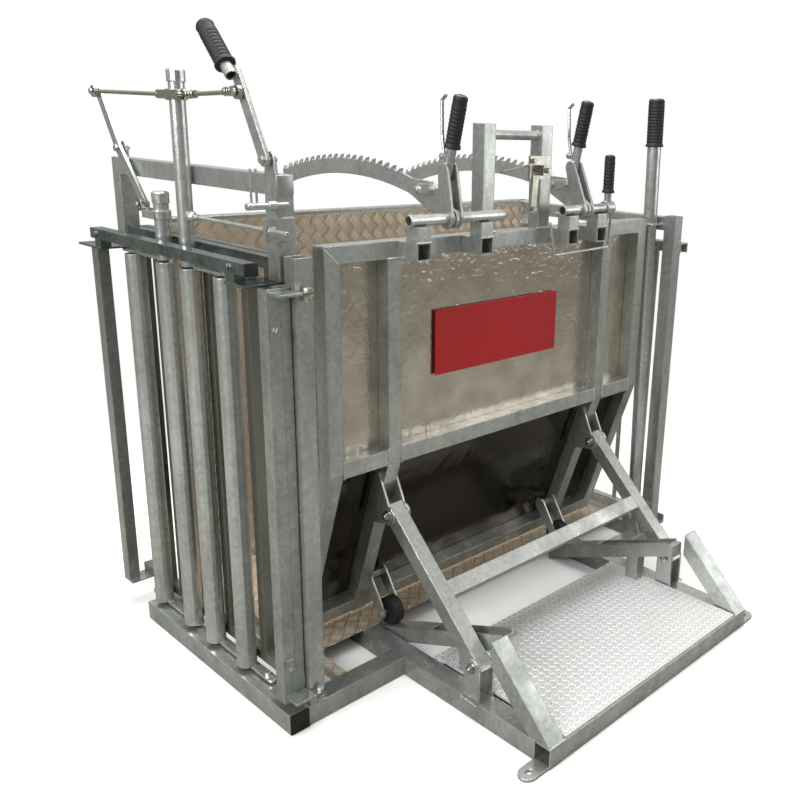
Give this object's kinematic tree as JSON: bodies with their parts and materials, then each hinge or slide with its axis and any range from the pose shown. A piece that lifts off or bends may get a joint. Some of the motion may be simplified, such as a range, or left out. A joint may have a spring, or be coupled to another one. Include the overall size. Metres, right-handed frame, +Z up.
{
  "type": "sheep handler",
  "caption": "Walk-through sheep crate with a hinged squeeze side on slanted arms, a sliding head yoke on a swinging gate, a rear leaf and an operator's platform.",
  "frame": {"origin": "on the ground, where the centre lines of the front sill and the near rail cross", "axes": "+X along the crate away from the head yoke, +Y across it away from the operator, +Z up"},
  "size_m": [1.5413, 1.337, 1.5462],
  "materials": {
    "black_plastic": "black moulded plastic",
    "black_rubber": "black moulded rubber",
    "chequer_steel": "chequer plate",
    "dark_panel": "dark smooth sheet",
    "galvanised": "hot-dip galvanised steel, mid grey",
    "panel_aluminium": "bright rolled sheet",
    "red_paint": "satin red paint",
    "tread_aluminium": "bar-pattern tread aluminium",
    "zinc_plate": "zinc-plated steel"
  },
  "bodies": {
    "crate": {"base_frame": "galvanised", "platform_frame": "galvanised", "platform_tread": "chequer_steel", "platform_brace_left": "galvanised", "platform_brace_right": "galvanised", "sill_cap": "black_plastic", "floor": "tread_aluminium", "far_panel": "tread_aluminium", "far_frame": "galvanised", "front_post": "galvanised", "rear_frame": "galvanised", "arm_lug_left": "galvanised", "arm_lug_right": "galvanised", "ramp_left": "galvanised", "ramp_right": "galvanised"},
    "arms": {"arm_left": "galvanised", "arm_right": "galvanised", "arm_cross_tube": "galvanised"},
    "panel": {"panel_post_1": "galvanised", "panel_post_2": "galvanised", "panel_post_3": "galvanised", "panel_post_4": "galvanised", "panel_top_rail": "galvanised", "panel_sheet_upper": "panel_aluminium", "panel_sheet_lower": "dark_panel", "horn_frame": "galvanised", "latch": "zinc_plate", "red_plate": "red_paint", "shaft_1": "galvanised", "shaft_2": "galvanised"},
    "roller_l": {"roller_left": "black_rubber"},
    "roller_r": {"roller_right": "black_rubber"},
    "lever_a": {"lever_1": "galvanised", "grip_1": "black_rubber", "toothed_arm_1": "galvanised"},
    "lever_b": {"lever_2": "galvanised", "grip_2": "black_rubber", "toothed_arm_2": "galvanised"},
    "trigger_a": {"trigger_1": "zinc_plate"},
    "trigger_b": {"trigger_2": "zinc_plate"},
    "lever_c": {"lever_3": "galvanised", "grip_3": "black_rubber"},
    "gate": {"gate_frame": "galvanised", "gate_rails": "galvanised", "arch": "galvanised"},
    "near_leaf": {"leaf_near": "galvanised", "clamp_tall": "zinc_plate"},
    "far_leaf": {"leaf_far": "galvanised"},
    "yoke": {"yoke_lever": "galvanised", "yoke_grip": "black_rubber"},
    "rocker_body": {"rocker": "galvanised"},
    "link_near": {"top_link_near": "zinc_plate"},
    "link_far": {"top_link_far": "zinc_plate"},
    "link_low": {"low_link": "zinc_plate"},
    "rear_slider": {"rear_leaf": "galvanised"},
    "rear_hand": {"rear_lever": "galvanised", "rear_grip": "black_rubber"}
  },
  "joints": [
    {"name": "arm_swing", "type": "hinge", "parent": "crate", "child": "arms", "pos_m": [0.7375, -0.269, 0.136], "axis": [1, 0, 0], "range_deg": [0, 12]},
    {"name": "panel_tilt", "type": "hinge", "parent": "arms", "child": "panel", "pos_m": [0.7375, 0.036, 0.422], "axis": [1, 0, 0], "range_deg": [-21.6, 0]},
    {"name": "roller_spin_left", "type": "hinge", "parent": "panel", "child": "roller_l", "pos_m": [0.3905, 0.123, 0.0925], "axis": [1, 0, 0], "range_deg": [0, 201]},
    {"name": "roller_spin_right", "type": "hinge", "parent": "panel", "child": "roller_r", "pos_m": [1.0845, 0.123, 0.0925], "axis": [1, 0, 0], "range_deg": [0, 201]},
    {"name": "lever_1_swing", "type": "hinge", "parent": "panel", "child": "lever_a", "pos_m": [0.465, -0.015, 1.146], "axis": [1, 0, 0], "range_deg": [0, 60]},
    {"name": "lever_2_swing", "type": "hinge", "parent": "panel", "child": "lever_b", "pos_m": [0.955, -0.015, 1.146], "axis": [1, 0, 0], "range_deg": [0, 60]},
    {"name": "trigger_1_squeeze", "type": "hinge", "parent": "lever_a", "child": "trigger_a", "pos_m": [0.465, 0.01323, 1.28451], "axis": [1, 0, 0], "range_deg": [0, 9], "stiffness_Nm_per_rad": 0.4},
    {"name": "trigger_2_squeeze", "type": "hinge", "parent": "lever_b", "child": "trigger_b", "pos_m": [0.955, 0.04197, 1.28408], "axis": [1, 0, 0], "range_deg": [0, 9], "stiffness_Nm_per_rad": 0.4},
    {"name": "lever_3_swing", "type": "hinge", "parent": "panel", "child": "lever_c", "pos_m": [1.06, -0.015, 1.146], "axis": [1, 0, 0], "range_deg": [0, 45]},
    {"name": "front_gate_swing", "type": "hinge", "parent": "crate", "child": "gate", "pos_m": [0.05, -0.039, 0.55], "axis": [0, 0, 1], "range_deg": [0, 100]},
    {"name": "near_leaf_slide", "type": "slide", "parent": "gate", "child": "near_leaf", "axis": [0, -1, 0], "range_m": [0, 0.06]},
    {"name": "far_leaf_slide", "type": "slide", "parent": "gate", "child": "far_leaf", "axis": [0, 1, 0], "range_m": [0, 0.063]},
    {"name": "yoke_lever_swing", "type": "hinge", "parent": "gate", "child": "yoke", "pos_m": [0.011, 0.04, 1.277], "axis": [1, 0, 0], "range_deg": [0, 25.5]},
    {"name": "rocker_swing", "type": "hinge", "parent": "gate", "child": "rocker_body", "pos_m": [0.011, 0.695, 1.273], "axis": [1, 0, 0], "range_deg": [0, 25]},
    {"name": "top_link_near_turn", "type": "hinge", "parent": "near_leaf", "child": "link_near", "pos_m": [0.003, 0.324, 1.3975], "axis": [1, 0, 0], "range_deg": [-6, 0]},
    {"name": "top_link_far_turn", "type": "hinge", "parent": "near_leaf", "child": "link_far", "pos_m": [0.003, 0.396, 1.3975], "axis": [1, 0, 0], "range_deg": [0, 4.5]},
    {"name": "low_link_turn", "type": "hinge", "parent": "far_leaf", "child": "link_low", "pos_m": [0.003, 0.514, 1.132], "axis": [1, 0, 0], "range_deg": [-37, 0]},
    {"name": "rear_leaf_slide", "type": "slide", "parent": "crate", "child": "rear_slider", "axis": [0, 1, 0], "range_m": [0, 0.275]},
    {"name": "rear_lever_swing", "type": "hinge", "parent": "crate", "child": "rear_hand", "pos_m": [1.375, 0.031, 0.1], "axis": [-1, 0, 0], "range_deg": [0, 18.2]}
  ],
  "couplings": [
    {"joint": "panel_tilt", "follows": "arm_swing", "ratio": -1.8},
    {"joint": "roller_spin_left", "follows": "arm_swing", "ratio": 16.7},
    {"joint": "roller_spin_right", "follows": "arm_swing", "ratio": 16.7},
    {"joint": "far_leaf_slide", "follows": "near_leaf_slide", "ratio": 1.04},
    {"joint": "yoke_lever_swing", "follows": "near_leaf_slide", "rad_per_m": 7.25},
    {"joint": "rocker_swing", "follows": "near_leaf_slide", "rad_per_m": 7.08},
    {"joint": "top_link_near_turn", "follows": "near_leaf_slide", "rad_per_m": -1.45},
    {"joint": "top_link_far_turn", "follows": "near_leaf_slide", "rad_per_m": 1.08},
    {"joint": "low_link_turn", "follows": "near_leaf_slide", "rad_per_m": -10.4},
    {"joint": "rear_lever_swing", "follows": "rear_leaf_slide", "rad_per_m": 1.1376}
  ]
}
